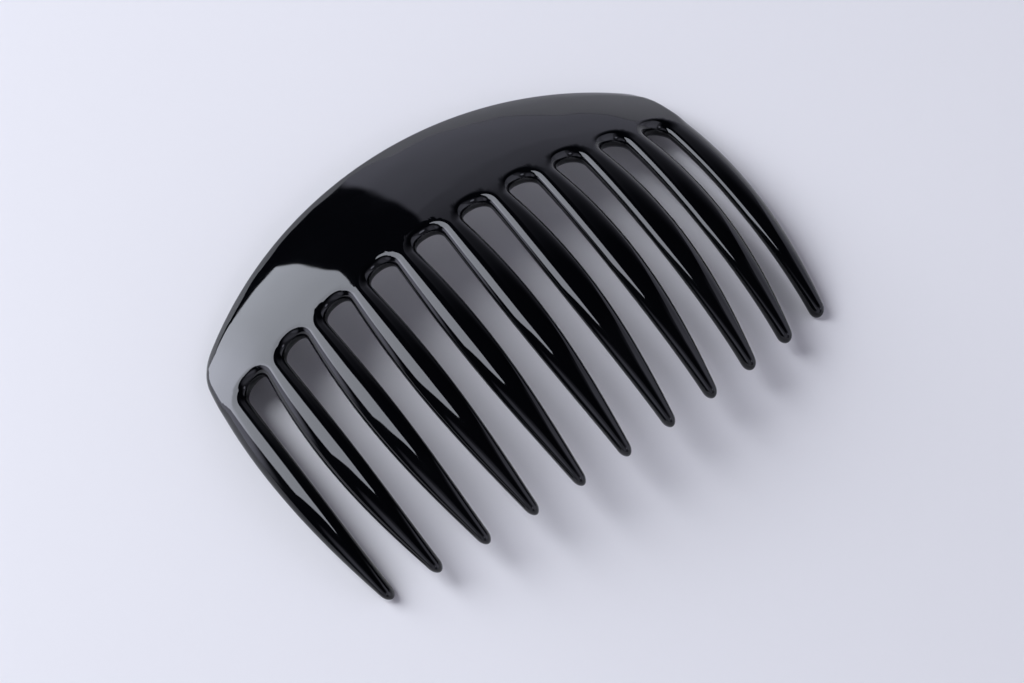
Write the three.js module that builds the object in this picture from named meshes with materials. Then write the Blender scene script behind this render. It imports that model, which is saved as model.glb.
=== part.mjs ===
// A curved wide tooth hair comb: a domed back and a row of thick polished teeth.
//
// The comb is drawn flat and then bent. On the flat pattern, s runs along the comb, t runs
// along the teeth, and depth goes down through the sheet. Bending wraps s round the head
// and curls t towards it, so the finished comb is domed both ways.
//
// Units are millimetres. +X runs along the comb, +Y points from the tips to the crown, and
// +Z points out of the domed face. The comb stands on its outer tips and its two back corners.

import * as THREE from 'three';
import { LoftGeometry } from 'three/addons/geometries/LoftGeometry.js';

// Bend
const archRadius = 87;        // radius round the head, measured at the outer face
const sweepRadius = 78;       // radius of the curl along the teeth, at the outer face

// Sheet
const thickness = 3.2;
const edgeRadius = thickness / 2;
const tipThickness = 3;

// Back
const crownTop = 42.4;        // t at the top of the dome
const crownCurve = 0.0055;    // how fast the dome falls away from its top, per mm
const crownShoulder = 1.4;    // extra fall of the dome at shoulderReach
const shoulderReach = 45;
const halfLength = 50.65;     // s at the widest place of each side
const sideBow = 0.001;        // how fast the sides bow in, per mm
const sideMiddle = 18.3;      // t at the widest place of each side
const cornerStart = 46.5;     // s where the dome turns into a corner
const cornerDrop = 4.5;       // length of the corner's last stretch, down the side

// Teeth
const toothCount = 11;
const pitch = 9.5;
const slotTop = 16.4;         // t at the closed end of each slot, halfway through the sheet
const slotEndHeight = 2.4;    // height of the slot's rounded end
const middleTip = -36;        // t at the middle tooth's tip
const tipCurve = 0.0031;      // how fast the tips draw back towards the ends, per mm
const rootWidth = 4.05;
const tipWidth = 2.05;
const bellyStart = 8;         // how fast the tooth widens just below its root
const bellyGrowth = 8.8;      // moves the widest place towards the tip
const bellyFall = -8.55;      // moves it back, and draws in the last stretch
const tipRound = 1.5;         // length of the rounded end
const squareness = 0.85;      // 1 makes ovals of the sections and slot ends, less squares them

// A tooth starts this far below the back, so the two solids meet without overlapping.
const rootClearance = 0.03;

// Mesh steps
const slotSteps = 6;
const cornerSteps = 4;
const faceSteps = 4;
const edgeSteps = 6;
const toothSteps = 10;
const sectionPoints = 12;

const rootLine = slotTop - slotEndHeight;
const middleTooth = (toothCount - 1) / 2;

// Places a point of the flat pattern on the bent comb.
function bend(s, t, depth) {
  const across = s / archRadius;
  const along = t / sweepRadius;
  const reach = archRadius - sweepRadius + (sweepRadius - depth) * Math.cos(along);
  const x = reach * Math.sin(across);
  const y = (sweepRadius - depth) * Math.sin(along);
  const z = reach * Math.cos(across);
  return new THREE.Vector3(x, y, z);
}

// Turns a sine or cosine into one that makes a slightly squared oval.
function squared(value) {
  return Math.sign(value) * Math.abs(value) ** squareness;
}

function side(t) {
  return halfLength - sideBow * (t - sideMiddle) ** 2;
}

function crown(s) {
  return crownTop - crownCurve * s ** 2 - crownShoulder * (s / shoulderReach) ** 4;
}

function crownSlope(s) {
  return -2 * crownCurve * s - 4 * crownShoulder * s ** 3 / shoulderReach ** 4;
}

// How wide a tooth is at a share of its length. It tapers from its root to its tip, with a
// belly between them.
function toothWidth(share) {
  const belly = bellyStart + bellyGrowth * share + bellyFall * share ** 2;
  return rootWidth + (tipWidth - rootWidth) * share + belly * share * (1 - share);
}

function tipLine(s) {
  return middleTip + tipCurve * s ** 2;
}

// The share of a tooth's length that lies above the root line.
function rootShare(s) {
  return slotEndHeight / (slotTop - tipLine(s));
}

// Half the tooth's width where it joins the back.
function halfRoot(s) {
  return toothWidth(rootShare(s)) / 2;
}

// The columns of the back from its middle line to its right end: where each stands, how low
// and high the back reaches there, and how far up its lower edge is rounded.
function rightColumns() {
  const columns = [];
  for (let i = middleTooth; i < toothCount - 1; i++) {
    const toothLine = (i - middleTooth) * pitch;
    const slotLeft = toothLine + halfRoot(toothLine);
    const slotRight = toothLine + pitch - halfRoot(toothLine + pitch);
    const slotMiddle = (slotLeft + slotRight) / 2;
    for (let k = 0; k <= slotSteps; k++) {
      const angle = Math.PI * k / slotSteps;
      const s = slotMiddle - (slotRight - slotLeft) / 2 * squared(Math.cos(angle));
      const low = rootLine + slotEndHeight * squared(Math.sin(angle));
      columns.push({ s, low, high: crown(s), rim: edgeRadius * Math.sin(angle) });
    }
  }
  const corner = cornerCurve();
  for (let k = 0; k <= cornerSteps; k++) {
    const point = corner.getPoint(k / cornerSteps);
    columns.push({ s: point.x, low: rootLine, high: point.y, rim: 0 });
  }
  return columns;
}

// The outline's corner, from the dome's shoulder round to the side.
function cornerCurve() {
  const start = new THREE.Vector2(cornerStart, crown(cornerStart));
  const sideLine = side(rootLine);
  const turn = start.y + crownSlope(cornerStart) * (sideLine - cornerStart);
  const control = new THREE.Vector2(sideLine, turn);
  const end = new THREE.Vector2(sideLine, turn - cornerDrop);
  return new THREE.QuadraticBezierCurve(start, control, end);
}

// How much of the sheet's thickness is left this close to the side's rounded edge.
function sideFullness(s) {
  const past = Math.max(0, s - (side(rootLine) - edgeRadius)) / edgeRadius;
  return Math.max(0.35, Math.sqrt(Math.max(0, 1 - past ** 2)));
}

// One cross-section of the back: up the inner face, round the crown's edge, down the outer
// face, and round the lower edge.
function backSection({ s, low, high, rim }) {
  const fullness = sideFullness(Math.abs(s));
  const place = (t, depth) => bend(s, t, edgeRadius + (depth - edgeRadius) * fullness);
  const points = [];
  const faceLow = low + rim;
  const faceTop = high - edgeRadius;
  for (let k = 0; k <= faceSteps; k++) {
    points.push(place(faceLow + (faceTop - faceLow) * k / faceSteps, thickness));
  }
  for (let k = 1; k < edgeSteps; k++) {
    const angle = Math.PI * k / edgeSteps;
    const t = faceTop + edgeRadius * Math.sin(angle);
    points.push(place(t, edgeRadius + edgeRadius * Math.cos(angle)));
  }
  for (let k = faceSteps; k >= 0; k--) {
    points.push(place(faceLow + (faceTop - faceLow) * k / faceSteps, 0));
  }
  for (let k = 1; k < edgeSteps; k++) {
    const angle = Math.PI * k / edgeSteps;
    const t = faceLow - rim * Math.sin(angle);
    points.push(place(t, edgeRadius - edgeRadius * Math.cos(angle)));
  }
  return points;
}

function backGeometry() {
  const right = rightColumns();
  const left = right.map((column) => ({ ...column, s: -column.s })).reverse();
  const sections = [...left, ...right].map(backSection);
  return new LoftGeometry(sections, { capStart: true, capEnd: true });
}

// One cross-section of a tooth: an oval with slightly flattened faces.
function toothSection(left, right, t, height) {
  const middle = (left + right) / 2;
  const reach = (right - left) / 2;
  const points = [];
  for (let k = 0; k < sectionPoints; k++) {
    const angle = 2 * Math.PI * k / sectionPoints;
    const s = middle + reach * squared(Math.cos(angle));
    const depth = edgeRadius - height / 2 * squared(Math.sin(angle));
    points.push(bend(s, t, depth));
  }
  return points;
}

function toothGeometry(index) {
  const line = (index - middleTooth) * pitch;
  const tip = tipLine(line);
  const start = rootLine - rootClearance;
  const straight = start - (tip + tipRound);
  const sections = [];
  for (let k = 0; k <= toothSteps; k++) {
    sections.push(sectionAt(start - straight * k / toothSteps, 1));
  }
  for (const share of [0.5, 0.8, 0.97]) {
    sections.push(sectionAt(tip + tipRound * (1 - share), Math.sqrt(1 - share ** 2)));
  }
  return new LoftGeometry(sections, { capStart: true, capEnd: true });

  // The end teeth keep their inner edge, and their outer edge follows the comb's side.
  function sectionAt(t, fullness) {
    const share = (slotTop - t) / (slotTop - tip);
    const half = toothWidth(share) / 2;
    const left = index === 0 ? -side(t) : line - half;
    const right = index === toothCount - 1 ? side(t) : line + half;
    const middle = (left + right) / 2;
    const reach = (right - left) / 2 * fullness;
    const height = (thickness + (tipThickness - thickness) * share) * fullness;
    return toothSection(middle - reach, middle + reach, t, height);
  }
}

function glossBlack() {
  return new THREE.MeshStandardMaterial({ color: 0x08080a, roughness: 0.08, metalness: 0 });
}

const comb = new THREE.Group();

const back = new THREE.Mesh(backGeometry(), glossBlack());
back.name = 'back';
comb.add(back);

for (let i = 0; i < toothCount; i++) {
  const tooth = new THREE.Mesh(toothGeometry(i), glossBlack());
  tooth.name = `tooth_${String(i + 1).padStart(2, '0')}`;
  comb.add(tooth);
}

// The origin is under the middle of the comb, on the surface it lies on.
const box = new THREE.Box3().setFromObject(comb, true);
const centre = box.getCenter(new THREE.Vector3());
comb.position.set(0, -centre.y, -box.min.z);

export default comb;
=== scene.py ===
# The looks of a curved wide tooth comb in glossy black plastic, lying on a pale table.
# The comb is one seamless surface here. It is drawn flat, as in the CAD model, and then
# bent: s runs along the comb, t along the teeth, and depth goes down through the sheet.
# Lengths are in millimetres, except where a comment says metres.

import math

import bpy
import numpy as np
from mathutils import Matrix, Vector
from mathutils.kdtree import KDTree


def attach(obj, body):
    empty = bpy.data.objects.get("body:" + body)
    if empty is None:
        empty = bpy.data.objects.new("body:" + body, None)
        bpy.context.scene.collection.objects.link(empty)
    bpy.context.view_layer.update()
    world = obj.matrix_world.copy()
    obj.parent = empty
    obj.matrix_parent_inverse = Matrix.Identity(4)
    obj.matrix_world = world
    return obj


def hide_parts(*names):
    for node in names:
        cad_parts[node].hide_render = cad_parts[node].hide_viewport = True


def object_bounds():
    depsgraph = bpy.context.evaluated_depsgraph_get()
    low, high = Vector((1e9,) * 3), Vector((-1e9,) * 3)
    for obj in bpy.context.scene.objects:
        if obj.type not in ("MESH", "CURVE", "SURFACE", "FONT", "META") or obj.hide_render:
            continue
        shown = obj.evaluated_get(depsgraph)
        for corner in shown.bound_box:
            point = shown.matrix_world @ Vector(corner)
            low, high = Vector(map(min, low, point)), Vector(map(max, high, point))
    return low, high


MM = 0.001

# Bend
ARCH_RADIUS = 87.0
SWEEP_RADIUS = 78.0

# Sheet
THICKNESS = 3.2
EDGE_RADIUS = THICKNESS / 2
TIP_THICKNESS = 3.0

# Back
CROWN_TOP = 42.4
CROWN_CURVE = 0.0055
CROWN_SHOULDER = 1.4
SHOULDER_REACH = 45.0
HALF_LENGTH = 50.65
SIDE_BOW = 0.001
SIDE_MIDDLE = 18.3
CORNER_START = 46.5
CORNER_DROP = 4.5

# Teeth
TOOTH_COUNT = 11
PITCH = 9.5
SLOT_TOP = 16.4          # t at the closed end of each slot, halfway through the sheet
ROOT_LINE = 14.0         # t where the slots' ends begin to close
MIDDLE_TIP = -36.0
TIP_CURVE = 0.0031
ROOT_WIDTH = 4.05
TIP_WIDTH = 2.05
BELLY_START = 8.0
BELLY_GROWTH = 8.8
BELLY_FALL = -8.55
TIP_ROUND = 1.5
SECTION_POWER = 2.05     # 2 makes ovals of the tooth sections, more squares them
SLOT_POWER = 2.35        # the same for the closed ends of the slots
ROOT_BLEND = 2.0         # length over which the last of a tooth's rounding runs out in the back
REACH_BLEND = 4.0        # length over which a tooth's rounding narrows to the back's

# Mesh steps
TOOTH_COLUMNS = 28
SLOT_COLUMNS = 64
RIM_ROWS = 13
FACE_ROWS = 12
FACE_CROWDING = 1.7      # 1 spaces the face's rows evenly, more draws them to the slots
TOOTH_ROWS = 30
TIP_SHARES = (0.3, 0.5, 0.66, 0.79, 0.88, 0.94, 0.975, 0.993)
HALF_CORNER = 20         # steps on each side of the outline's corner
END_STEPS = 30, 20       # steps of the end's top and side, which are then evened out

# Steps of the outline that the rounding is measured from
OUTLINE_BELOW_ROOT = 6.0
CROWN_STEPS = 400
CORNER_STEPS = 200
SIDE_STEPS = 120
SLOT_STEPS = 400
ROOT_STEPS = 60
SLOT_TURN_STEPS = 600
ON_EDGE = 0.01           # a point this close to the outline counts as being on it

# Plastic, with the heights of its waves and streaks in metres
PLASTIC_COLOUR = (0.0011, 0.0012, 0.0017, 1)
DUST_COLOUR = (0.10, 0.10, 0.105, 1)
PLASTIC_IOR = 1.46
PLASTIC_SPECULAR = 0.45
POLISH_ROUGHNESS = 0.035
FILM_ROUGHNESS = 0.03
STREAK_ROUGHNESS = 0.03
DUST_ROUGHNESS = 0.5
FILM_TINT = 0.008
DUST_CELLS = 330         # cells a metre, of which few hold a speck
DUST_RARITY = 0.955
WAVE_HEIGHT = 0.0004
STREAK_HEIGHT = 0.0000012
BUMP_STRENGTH = 0.35

# Table, in metres
TABLE_SIZE = 3
TABLE_ROUGHNESS = 0.55
TABLE_COLOURS = (0.765, 0.75, 0.737, 1), (0.79, 0.773, 0.757, 1)

# Camera: its place, and its three axes
CAMERA_PLACE = (-96.72, -222.06, 390.64)
CAMERA_RIGHT = (0.822206, -0.558362, -0.110497)
CAMERA_DOWN = (-0.528961, -0.677871, -0.510579)
CAMERA_AHEAD = (0.210185, 0.478249, -0.852701)
LENS = 98.35
SENSOR = 36
CLIP_START = 0.01        # in metres

# Key light, in metres, with the brightness of white in the render as 1
KEY_RADIANCE = 6.8
KEY_COLOUR = (0.85, 0.89, 1.0)
KEY_SIZE = 0.9, 2.16
KEY_PLACE = (-0.669, 0.968, 0.81)
KEY_AXES = (0.943, 0.124, 0.309), (0.078, 0.82, -0.567), (-0.324, 0.559, 0.764)
KEY_NEAR_LEVEL = 1.06    # brightness of the softbox's two ends, as shares of its radiance
KEY_FAR_LEVEL = 0.86

# Room, with the directions that its grey screen's edges are measured along
ROOM_COLOUR = (0.77, 0.78, 0.96)
ROOM_DARK = 0.002
SCREEN_SIDE = (0.99, -0.098, -0.102)
SCREEN_TOP = (-0.413, 0.486, -0.77)

MIDDLE_TOOTH = (TOOTH_COUNT - 1) // 2


def bend(s, t, depth):
    """Places points of the flat pattern on the bent comb, in millimetres."""
    reach = ARCH_RADIUS - SWEEP_RADIUS + (SWEEP_RADIUS - depth) * np.cos(t / SWEEP_RADIUS)
    x = reach * np.sin(s / ARCH_RADIUS)
    y = (SWEEP_RADIUS - depth) * np.sin(t / SWEEP_RADIUS)
    z = reach * np.cos(s / ARCH_RADIUS)
    return np.stack([x, y, z], axis=-1)


def side(t):
    return HALF_LENGTH - SIDE_BOW * (t - SIDE_MIDDLE) ** 2


def crown(s):
    return CROWN_TOP - CROWN_CURVE * s ** 2 - CROWN_SHOULDER * (s / SHOULDER_REACH) ** 4


def tip_line(line):
    return MIDDLE_TIP + TIP_CURVE * line ** 2


def tooth_width(share):
    belly = BELLY_START + BELLY_GROWTH * share + BELLY_FALL * share ** 2
    return ROOT_WIDTH + (TIP_WIDTH - ROOT_WIDTH) * share + belly * share * (1 - share)


def tooth_edges(index, t):
    """The left and right edge of a tooth at t. The end teeth run out to the comb's side."""
    line = (index - MIDDLE_TOOTH) * PITCH
    half = tooth_width((SLOT_TOP - t) / (SLOT_TOP - tip_line(line))) / 2
    left = -side(t) if index == 0 else line - half
    right = side(t) if index == TOOTH_COUNT - 1 else line + half
    return left, right


def crowned(inset):
    """The share of the thickness left at inset, which is 0 at an edge and 1 past its rounding."""
    past = 1 - np.clip(inset, 0, 1)
    return np.maximum(1 - past ** SECTION_POWER, 0) ** (1 / SECTION_POWER)


def even_turn(count):
    """Numbers from -1 to 1, close together at both ends, as a turning circle's are."""
    return -np.cos(np.linspace(0, math.pi, count + 1))


def slot_end(index, count):
    """The closed end of slot number index, from its left corner over to its right."""
    left = tooth_edges(index, ROOT_LINE)[1]
    right = tooth_edges(index + 1, ROOT_LINE)[0]
    angle = np.linspace(0, math.pi, count + 1)
    power = 2 / SLOT_POWER
    across = -np.sign(np.cos(angle)) * np.abs(np.cos(angle)) ** power
    s = (left + right) / 2 + (right - left) / 2 * across
    t = ROOT_LINE + (SLOT_TOP - ROOT_LINE) * np.sin(angle).clip(0, 1) ** power
    return s, t


def corner_curve(count):
    """The outline's right corner, from the dome's shoulder round to the side."""
    side_line = side(ROOT_LINE)
    slope = -2 * CROWN_CURVE * CORNER_START
    slope -= 4 * CROWN_SHOULDER * CORNER_START ** 3 / SHOULDER_REACH ** 4
    start = np.array([CORNER_START, crown(CORNER_START)])
    turn = np.array([side_line, start[1] + slope * (side_line - CORNER_START)])
    end = turn - (0, CORNER_DROP)
    k = np.linspace(0, 1, count)[:, None]
    return start * (1 - k) ** 2 + turn * 2 * k * (1 - k) + end * k ** 2


def resample(points, places):
    """Points at the given lengths along a polyline."""
    steps = np.linalg.norm(np.diff(points, axis=0), axis=1)
    run = np.concatenate([[0], np.cumsum(steps)])
    return np.stack([np.interp(places, run, points[:, k]) for k in (0, 1)], axis=-1)


def length(points):
    return np.linalg.norm(np.diff(points, axis=0), axis=1).sum()


def row_places(total):
    """Distances up a column of the back, close together where its two edges are rounded and
    next to the slots."""
    turn = np.linspace(0, math.pi / 2, RIM_ROWS + 1)
    low = EDGE_RADIUS * (1 - np.cos(turn))
    high = total - EDGE_RADIUS + EDGE_RADIUS * np.sin(turn)
    shares = np.linspace(0, 1, FACE_ROWS + 1) ** FACE_CROWDING
    middle = low[-1] + (high[0] - low[-1]) * shares
    return np.concatenate([low, middle[1:-1], high])


def end_patch():
    """The back's right end as columns of points, from the last slot out to the side."""
    inner, _ = tooth_edges(TOOTH_COUNT - 1, ROOT_LINE)
    corner = corner_curve(2 * HALF_CORNER + 1)
    crown_run = np.linspace(inner, CORNER_START, END_STEPS[0])
    crown_line = np.stack([crown_run, crown(crown_run)], axis=-1)
    top = np.concatenate([crown_line[:-1], corner[:HALF_CORNER + 1]])
    side_run = np.linspace(ROOT_LINE, corner[-1, 1], END_STEPS[1])
    side_line = np.stack([side(side_run), side_run], axis=-1)
    right = np.concatenate([side_line[:-1], corner[HALF_CORNER:][::-1]])
    low = np.array([[inner, ROOT_LINE], [side(ROOT_LINE), ROOT_LINE]])
    left = np.array([[inner, ROOT_LINE], [inner, crown(inner)]])

    across = (even_turn(TOOTH_COLUMNS) + 1) / 2
    up = row_places(length(left)) / length(left)
    top = resample(top, across * length(top))
    right = resample(right, up * length(right))
    low = low[0] + across[:, None] * (low[1] - low[0])
    left = left[0] + up[:, None] * (left[1] - left[0])

    a = across[:, None, None]
    u = up[None, :, None]
    sides = (1 - a) * left[None] + a * right[None]
    ends = (1 - u) * low[:, None] + u * top[:, None]
    corners = (1 - a) * ((1 - u) * low[0] + u * top[0]) + a * ((1 - u) * low[-1] + u * top[-1])
    return sides + ends - corners


def back_columns():
    """The whole back as an array of columns, each a row of (s, t) points from low to high,
    and how far in from its tooth's edges each column starts, from 0 to 1 at the middle."""
    columns = []
    insets = []
    turn = even_turn(TOOTH_COLUMNS)
    for index in range(1, TOOTH_COUNT):
        s, t = slot_end(index - 1, SLOT_COLUMNS)
        columns += list(zip(s, t))
        insets += [0.0] * len(s)
        if index < TOOTH_COUNT - 1:
            left, right = tooth_edges(index, ROOT_LINE)
            middle, half = (left + right) / 2, (right - left) / 2
            columns += [(s, ROOT_LINE) for s in middle + half * turn[1:-1]]
            insets += list(1 - np.abs(turn[1:-1]))
    lines = []
    for s, low in columns:
        places = row_places(crown(s) - low)
        lines.append(np.stack([np.full_like(places, s), low + places], axis=-1))
    right = end_patch()
    left = right[::-1] * (-1, 1)
    ends = list(1 - np.abs(turn))
    insets = ends[:-1] + insets + ends[1:]
    return np.concatenate([left[:-1], np.array(lines), right[1:]]), np.array(insets)


def outline():
    """Every edge that the back's rounding is measured from, as a list of polylines."""
    below = ROOT_LINE - OUTLINE_BELOW_ROOT
    run = np.linspace(0, CORNER_START, CROWN_STEPS)
    crown_line = np.stack([run, crown(run)], axis=-1)
    corner = corner_curve(CORNER_STEPS)
    down = np.linspace(corner[-1, 1], below, SIDE_STEPS)
    side_line = np.stack([side(down), down], axis=-1)
    right = np.concatenate([crown_line, corner[1:], side_line[1:]])
    lines = [np.concatenate([(right * (-1, 1))[::-1], right[1:]])]
    for index in range(TOOTH_COUNT - 1):
        s, t = slot_end(index, SLOT_TURN_STEPS)
        run = np.linspace(below, ROOT_LINE, ROOT_STEPS)[:-1]
        left = np.stack([tooth_edges(index, run)[1], run], axis=-1)
        right = np.stack([tooth_edges(index + 1, run)[0], run], axis=-1)
        end = np.stack([s, t], axis=-1)
        fine = resample(end, np.linspace(0, length(end), SLOT_STEPS))
        lines.append(np.concatenate([left, fine, right[::-1]]))
    return lines


def distances(points, lines):
    """How far each (s, t) point is from the nearest of the polylines, and the way inwards."""
    samples = np.concatenate(lines)
    ends = np.cumsum([len(line) for line in lines])
    tree = KDTree(len(samples))
    for number, (s, t) in enumerate(samples):
        tree.insert((s, t, 0), number)
    tree.balance()
    result = []
    inwards = []
    for s, t in points:
        point = Vector((s, t))
        number = tree.find((s, t, 0))[1]
        best = None
        for first in (number - 1, number):
            if first < 0 or first + 1 >= len(samples) or first + 1 in ends:
                continue
            a, b = Vector(samples[first]), Vector(samples[first + 1])
            share = min(max((point - a).dot(b - a) / (b - a).length_squared, 0), 1)
            offset = point - a - (b - a) * share
            if best is None or offset.length < best.length:
                best = offset
                run = (b - a).normalized()
        # The outline runs clockwise round the comb, and the slots' edges the other way.
        turn = 1 if number < ends[0] else -1
        edge_way = Vector((run.y, -run.x)) * turn
        inwards.append(best.normalized() if best.length > ON_EDGE else edge_way)
        result.append(best.length)
    return np.array(result), np.array(inwards)


def smooth(value):
    value = np.clip(value, 0, 1)
    return value * value * (3 - 2 * value)


def back_heights(columns, insets):
    """Half the thickness at each point of the back, how far in the point is from 0 at an edge
    to 1, and the slope of that. The tooth sections run on into the back."""
    points = columns.reshape(-1, 2)
    reach = np.full(len(points), EDGE_RADIUS)
    widening = np.zeros(len(points))
    up = np.clip((points[:, 1] - ROOT_LINE) / REACH_BLEND, 0, 1)
    rise = smooth(up)
    rise_rate = 6 * up * (1 - up) / REACH_BLEND
    for index in range(TOOTH_COUNT):
        left, right = tooth_edges(index, ROOT_LINE)
        near = np.abs(points[:, 0] - (left + right) / 2) < PITCH / 2
        if index in (0, TOOTH_COUNT - 1):
            near = np.sign(left + right) * points[:, 0] > abs(left + right) / 2 - PITCH / 2
        half = (right - left) / 2
        reach = np.where(near, half * (1 - rise) + EDGE_RADIUS * rise, reach)
        widening = np.where(near, (EDGE_RADIUS - half) * rise_rate, widening)
    distance, inwards = distances(points, outline())
    slope = inwards / reach[:, None]
    slope[:, 1] -= distance * widening / reach ** 2
    inset = (distance / reach).reshape(columns.shape[:2])
    leave = smooth((columns[..., 1] - columns[:, :1, 1]) / ROOT_BLEND)
    inset += (insets - inset[:, 0])[:, None] * (1 - leave)
    inset[:, -1] = inset[0] = inset[-1] = 0
    return EDGE_RADIUS * crowned(inset), inset, slope.reshape(columns.shape)


def back_normals(columns, inset, slope, outward):
    """Normals of the back's outer face, or of its inner face where outward is -1."""
    across = columns[..., 0] / ARCH_RADIUS
    along = columns[..., 1] / SWEEP_RADIUS
    zero = np.zeros_like(across)
    way_s = np.stack([np.cos(across), zero, -np.sin(across)], axis=-1)
    way_t = np.stack([-np.sin(along) * np.sin(across), np.cos(along),
                      -np.sin(along) * np.cos(across)], axis=-1)
    way_out = np.stack([np.cos(along) * np.sin(across), np.sin(along),
                        np.cos(along) * np.cos(across)], axis=-1)
    past = 1 - np.clip(inset, 0, 1)
    level = np.maximum(1 - past ** SECTION_POWER, 0) ** (1 - 1 / SECTION_POWER)
    tilt = EDGE_RADIUS * past ** (SECTION_POWER - 1)
    normal = way_out * level[..., None] * outward
    normal -= tilt[..., None] * (way_s * slope[..., :1] + way_t * slope[..., 1:])
    return normal / np.linalg.norm(normal, axis=-1, keepdims=True)


class Surface:
    """Vertices and faces that meet wherever two points share a place."""

    def __init__(self):
        self.points = []
        self.faces = []
        self.places = {}
        self.normals = {}

    def vertex(self, point):
        key = tuple(round(float(value), 4) for value in point)
        if key not in self.places:
            self.places[key] = len(self.points)
            self.points.append(point)
        return self.places[key]

    def grid(self, points, turned, normals=None):
        """Covers a two-way array of points with faces."""
        numbers = [[self.vertex(point) for point in row] for row in points]
        if normals is not None:
            flat = (number for row in numbers for number in row)
            self.normals.update(zip(flat, normals.reshape(-1, 3)))
        for first, second in zip(numbers, numbers[1:]):
            for k in range(len(first) - 1):
                face = [first[k], second[k], second[k + 1], first[k + 1]]
                face = [n for i, n in enumerate(face) if n != face[i - 1]]
                if len(face) > 2:
                    self.faces.append(face[::-1] if turned else face)


def tooth_rows(index):
    """One tooth's (s, t, half thickness) from the root line to its tip, row by row."""
    line = (index - MIDDLE_TOOTH) * PITCH
    tip = tip_line(line)
    straight = np.linspace(ROOT_LINE, tip + TIP_ROUND, TOOTH_ROWS + 1)
    rows = [(t, 1.0) for t in straight]
    rows += [(tip + TIP_ROUND * (1 - share), math.sqrt(1 - share ** 2)) for share in TIP_SHARES]
    rows.append((tip, 0.0))
    across = even_turn(TOOTH_COLUMNS)
    result = []
    for t, fullness in rows:
        left, right = tooth_edges(index, t)
        share = (SLOT_TOP - t) / (SLOT_TOP - tip)
        half = (THICKNESS + (TIP_THICKNESS - THICKNESS) * share) / 2 * fullness
        # The first row is the back's as well.
        half = EDGE_RADIUS if t == ROOT_LINE else half
        s = (left + right) / 2 + (right - left) / 2 * across * fullness
        height = half * crowned(1 - np.abs(across))
        result.append(np.stack([s, np.full_like(s, t), height], axis=-1))
    return np.array(result)


def comb_surface():
    surface = Surface()
    columns, insets = back_columns()
    height, inset, slope = back_heights(columns, insets)
    s, t = np.moveaxis(columns, -1, 0)
    for outward in (1, -1):
        points = bend(s, t, EDGE_RADIUS - height * outward)
        normals = back_normals(columns, inset, slope, outward)
        surface.grid(points, outward < 0, normals)
    for index in range(TOOTH_COUNT):
        s, t, height = np.moveaxis(tooth_rows(index), -1, 0)
        surface.grid(bend(s, t, EDGE_RADIUS - height), turned=False)
        surface.grid(bend(s, t, EDGE_RADIUS + height), turned=True)
    return surface


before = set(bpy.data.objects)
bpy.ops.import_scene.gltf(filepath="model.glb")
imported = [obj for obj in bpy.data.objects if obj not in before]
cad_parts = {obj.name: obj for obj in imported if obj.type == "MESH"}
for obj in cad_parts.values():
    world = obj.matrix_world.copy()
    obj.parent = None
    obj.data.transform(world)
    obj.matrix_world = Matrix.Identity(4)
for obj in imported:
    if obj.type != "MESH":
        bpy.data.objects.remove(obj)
cad_low, cad_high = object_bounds()

# The comb
surface = comb_surface()
points = np.array(surface.points)
place = Vector((0, cad_high.y / MM - points[:, 1].max(), cad_high.z / MM - ARCH_RADIUS))
mesh = bpy.data.meshes.new("comb")
mesh.from_pydata([(Vector(point) + place) * MM for point in points], [], surface.faces)
mesh.validate()
mesh.shade_smooth()
normals = [surface.normals.get(n, vertex.normal) for n, vertex in enumerate(mesh.vertices)]
mesh.normals_split_custom_set_from_vertices(normals)
comb = bpy.data.objects.new("comb", mesh)
bpy.context.scene.collection.objects.link(comb)
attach(comb, "root")
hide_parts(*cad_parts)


def ranged(tree, source, low, high, start, end, smooth_step=False):
    """A number that goes from start to end as source goes from low to high."""
    node = tree.nodes.new("ShaderNodeMapRange")
    node.interpolation_type = "SMOOTHSTEP" if smooth_step else "LINEAR"
    tree.links.new(source, node.inputs["Value"])
    for name, value in (("From Min", low), ("From Max", high), ("To Min", start), ("To Max", end)):
        node.inputs[name].default_value = value
    return node.outputs["Result"]


def combined(tree, operation, first, second):
    """The result of a sum, a product or a comparison of two values."""
    node = tree.nodes.new("ShaderNodeMath")
    node.operation = operation
    for socket, value in zip(node.inputs, (first, second)):
        if isinstance(value, (int, float)):
            socket.default_value = value
        else:
            tree.links.new(value, socket)
    return node.outputs["Value"]


def noise(tree, place, scale, detail, stretch=(1, 1, 1), turn=(0, 0, 0)):
    """Noise over the object, in its own metres, drawn out and turned as a brush leaves it."""
    mapping = tree.nodes.new("ShaderNodeMapping")
    mapping.inputs["Scale"].default_value = stretch
    mapping.inputs["Rotation"].default_value = turn
    tree.links.new(place, mapping.inputs["Vector"])
    texture = tree.nodes.new("ShaderNodeTexNoise")
    texture.inputs["Scale"].default_value = scale
    texture.inputs["Detail"].default_value = detail
    tree.links.new(mapping.outputs["Vector"], texture.inputs["Vector"])
    return texture.outputs["Fac"]


def mixed(tree, first, second, share):
    """A colour that goes from first to second as share goes from 0 to 1."""
    node = tree.nodes.new("ShaderNodeMix")
    node.data_type = "RGBA"
    node.inputs["A"].default_value = first
    node.inputs["B"].default_value = second
    tree.links.new(share, node.inputs["Factor"])
    return node.outputs["Result"]


def raised(tree, height, distance, below=None):
    """A bump of this height, on top of another bump's normals."""
    bump = tree.nodes.new("ShaderNodeBump")
    bump.inputs["Distance"].default_value = distance
    bump.inputs["Strength"].default_value = BUMP_STRENGTH
    tree.links.new(height, bump.inputs["Height"])
    if below is not None:
        tree.links.new(below, bump.inputs["Normal"])
    return bump.outputs["Normal"]


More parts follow.
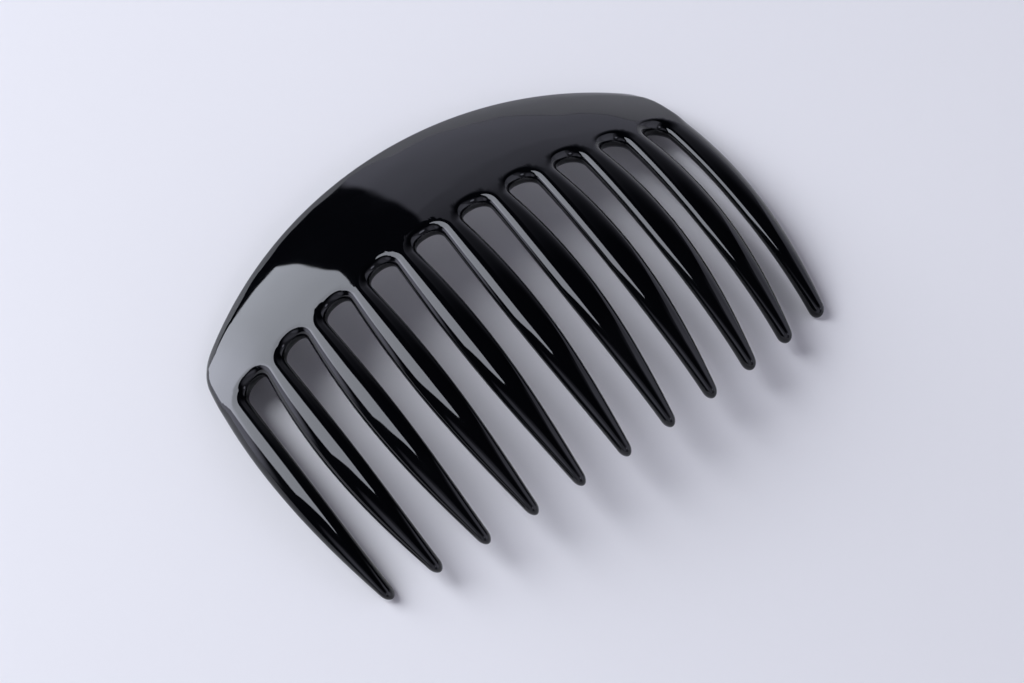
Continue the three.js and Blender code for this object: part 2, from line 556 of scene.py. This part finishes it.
def black_acetate():
    """Black plastic, buffed by hand to a mirror: a faintly wavy face, hairline wheel marks,
    a thin film from handling, and a few specks of dust."""
    material = bpy.data.materials.new("black_acetate")
    material.use_nodes = True
    tree = material.node_tree
    shader = tree.nodes["Principled BSDF"]
    shader.inputs["IOR"].default_value = PLASTIC_IOR
    shader.inputs["Specular IOR Level"].default_value = PLASTIC_SPECULAR
    place = tree.nodes.new("ShaderNodeTexCoord").outputs["Object"]

    # Handling leaves patches of film, which are a little duller.
    film = ranged(tree, noise(tree, place, 55, 3), 0.5, 0.75, 0, 1, smooth_step=True)
    streaks = noise(tree, place, 420, 4, stretch=(1, 0.12, 1), turn=(0, 0, 0.35))
    streaks = ranged(tree, streaks, 0.55, 0.8, 0, 1)
    dull = combined(tree, "ADD", combined(tree, "MULTIPLY", film, FILM_ROUGHNESS),
                    combined(tree, "MULTIPLY", streaks, STREAK_ROUGHNESS))

    # Dust lies as specks of a tenth or two of a millimetre, in few of the cells.
    cells = tree.nodes.new("ShaderNodeTexVoronoi")
    cells.inputs["Scale"].default_value = DUST_CELLS
    tree.links.new(place, cells.inputs["Vector"])
    lot = tree.nodes.new("ShaderNodeSeparateColor")
    tree.links.new(cells.outputs["Color"], lot.inputs["Color"])
    chosen = combined(tree, "GREATER_THAN", lot.outputs["Red"], DUST_RARITY)
    speck = ranged(tree, cells.outputs["Distance"], 0.014, 0.034, 1, 0, smooth_step=True)
    dust = combined(tree, "MULTIPLY", chosen, speck)

    tint = combined(tree, "MULTIPLY", film, FILM_TINT)
    share = combined(tree, "ADD", tint, dust)
    tree.links.new(mixed(tree, PLASTIC_COLOUR, DUST_COLOUR, share), shader.inputs["Base Color"])

    rough = combined(tree, "ADD", dull, combined(tree, "MULTIPLY", dust, DUST_ROUGHNESS))
    rough = combined(tree, "ADD", rough, POLISH_ROUGHNESS)
    tree.links.new(rough, shader.inputs["Roughness"])

    wave = raised(tree, noise(tree, place, 95, 1), WAVE_HEIGHT)
    wheel = raised(tree, streaks, STREAK_HEIGHT, below=wave)
    tree.links.new(wheel, shader.inputs["Normal"])
    return material


def pale_table():
    """A smooth painted board with a faint mottle."""
    material = bpy.data.materials.new("table")
    material.use_nodes = True
    tree = material.node_tree
    shader = tree.nodes["Principled BSDF"]
    shader.inputs["Roughness"].default_value = TABLE_ROUGHNESS
    place = tree.nodes.new("ShaderNodeTexCoord").outputs["Object"]
    mottle = mixed(tree, *TABLE_COLOURS, noise(tree, place, 9, 4))
    tree.links.new(mottle, shader.inputs["Base Color"])
    return material


comb.data.materials.append(black_acetate())

# The table
bpy.ops.mesh.primitive_plane_add(size=TABLE_SIZE)
table = bpy.context.object
table.name = "table"
table.data.materials.append(pale_table())

# The camera stands in front of the comb's left end and looks down on it.
camera = bpy.data.objects.new("camera", bpy.data.cameras.new("camera"))
bpy.context.scene.collection.objects.link(camera)
right, down, ahead = Vector(CAMERA_RIGHT), Vector(CAMERA_DOWN), Vector(CAMERA_AHEAD)
turn = Matrix((right, -down, -ahead)).transposed().to_4x4()
camera.matrix_world = Matrix.Translation(Vector(CAMERA_PLACE) * MM) @ turn
camera.data.lens = LENS
camera.data.sensor_width = SENSOR
camera.data.clip_start = CLIP_START
bpy.context.scene.camera = camera

# The key light is a tall softbox behind the comb's left half. Its turn is given by its own
# three axes, because its face isn't square to the comb.
key = bpy.data.lights.new("key", "AREA")
key.shape = "RECTANGLE"
key.size, key.size_y = KEY_SIZE
key.energy = KEY_RADIANCE * math.pi * key.size * key.size_y
key.color = KEY_COLOUR
lamp = bpy.data.objects.new("key", key)
bpy.context.scene.collection.objects.link(lamp)
lamp.matrix_world = Matrix.Translation(KEY_PLACE) @ Matrix(KEY_AXES).transposed().to_4x4()


def slanted(tree, face, slope, low, high, start, end):
    """Goes from start to end across a slanted line on the softbox's face."""
    rise = combined(tree, "MULTIPLY", face["Y"], slope)
    rise = combined(tree, "ADD", rise, face["X"])
    return ranged(tree, rise, low, high, start, end, smooth_step=True)


# It is a little dimmer at its far end. Its cloth is folded in at the far right corner, and
# along a slant at the near left one.
key.use_nodes = True
cloth = key.node_tree
places = cloth.nodes.new("ShaderNodeSeparateXYZ")
geometry = cloth.nodes.new("ShaderNodeNewGeometry")
cloth.links.new(geometry.outputs["Parametric"], places.inputs["Vector"])
level = ranged(cloth, places.outputs["Y"], 0, 1, KEY_NEAR_LEVEL, KEY_FAR_LEVEL)
far_fold = slanted(cloth, places.outputs, 0.692, 1.46, 1.48, 1, 0)
near_fold = slanted(cloth, places.outputs, 2.97, 0.86, 0.88, 0, 1)
level = combined(cloth, "MULTIPLY", level, combined(cloth, "MULTIPLY", far_fold, near_fold))
cloth.links.new(level, cloth.nodes["Emission"].inputs["Strength"])


class Room:
    """The dim studio round the table, as brightness that depends on direction."""

    def __init__(self):
        self.world = bpy.data.worlds.new("studio")
        self.world.use_nodes = True
        self.tree = self.world.node_tree
        self.direction = self.tree.nodes.new("ShaderNodeTexCoord").outputs["Generated"]
        self.total = ROOM_DARK

    def along(self, axis, start, end):
        """Goes from 0 to 1 as the direction's share along an axis goes from start to end."""
        dot = self.tree.nodes.new("ShaderNodeVectorMath")
        dot.operation = "DOT_PRODUCT"
        self.tree.links.new(self.direction, dot.inputs[0])
        dot.inputs[1].default_value = Vector(axis).normalized()
        return ranged(self.tree, dot.outputs["Value"], start, end, 0, 1, smooth_step=True)

    def add(self, brightness, *masks):
        """Adds a brightness where all the masks are 1."""
        part = brightness
        for mask in masks:
            part = combined(self.tree, "MULTIPLY", mask, part)
        self.total = combined(self.tree, "ADD", part, self.total)

    def finish(self):
        background = self.tree.nodes["Background"]
        background.inputs["Color"].default_value = (*ROOM_COLOUR, 1)
        self.tree.links.new(self.total, background.inputs["Strength"])
        bpy.context.scene.world = self.world


room = Room()
# A small window and a dim wall are behind the camera.
room.add(3, room.along((0.1, -0.72, 0.68), 0.985, 0.995))
room.add(0.25, room.along((0, -1, 0), 0.32, 0.6))
# White boards stand in front on both sides.
room.add(0.7, room.along((-0.72, -0.5, 0.48), 0.78, 0.94))
room.add(0.5, room.along((0.72, -0.5, 0.48), 0.78, 0.94))
# A grey screen stands behind on the right, and fades upwards.
screen_edge = room.along(SCREEN_SIDE, -0.004, 0.02)
room.add(0.38, screen_edge, room.along(SCREEN_TOP, -0.26, -0.02))
room.add(0.34, screen_edge, room.along(SCREEN_TOP, -0.6, -0.1))
upper_left = room.along((-0.6, 0.8, 0), 0, 0.6)
room.add(0.18, screen_edge, room.along(SCREEN_TOP, -0.01, 0.02), upper_left)
# Another stands on the right.
right_edge = room.along((0.808, 0, -0.59), -0.01, 0.03)
room.add(0.75, room.along((0.366, -0.844, -0.392), -0.01, 0.02), right_edge)
# The softbox spills on the left, and a thin strip of light stands beside it.
room.add(2.4, room.along((-0.665, 0.739, 0.1045), 0.92, 0.985))
room.add(0.6, room.along((-0.862, -0.086, 0.5), 0.955, 0.985))
room.finish()

bpy.context.scene.view_settings.view_transform = "Standard"
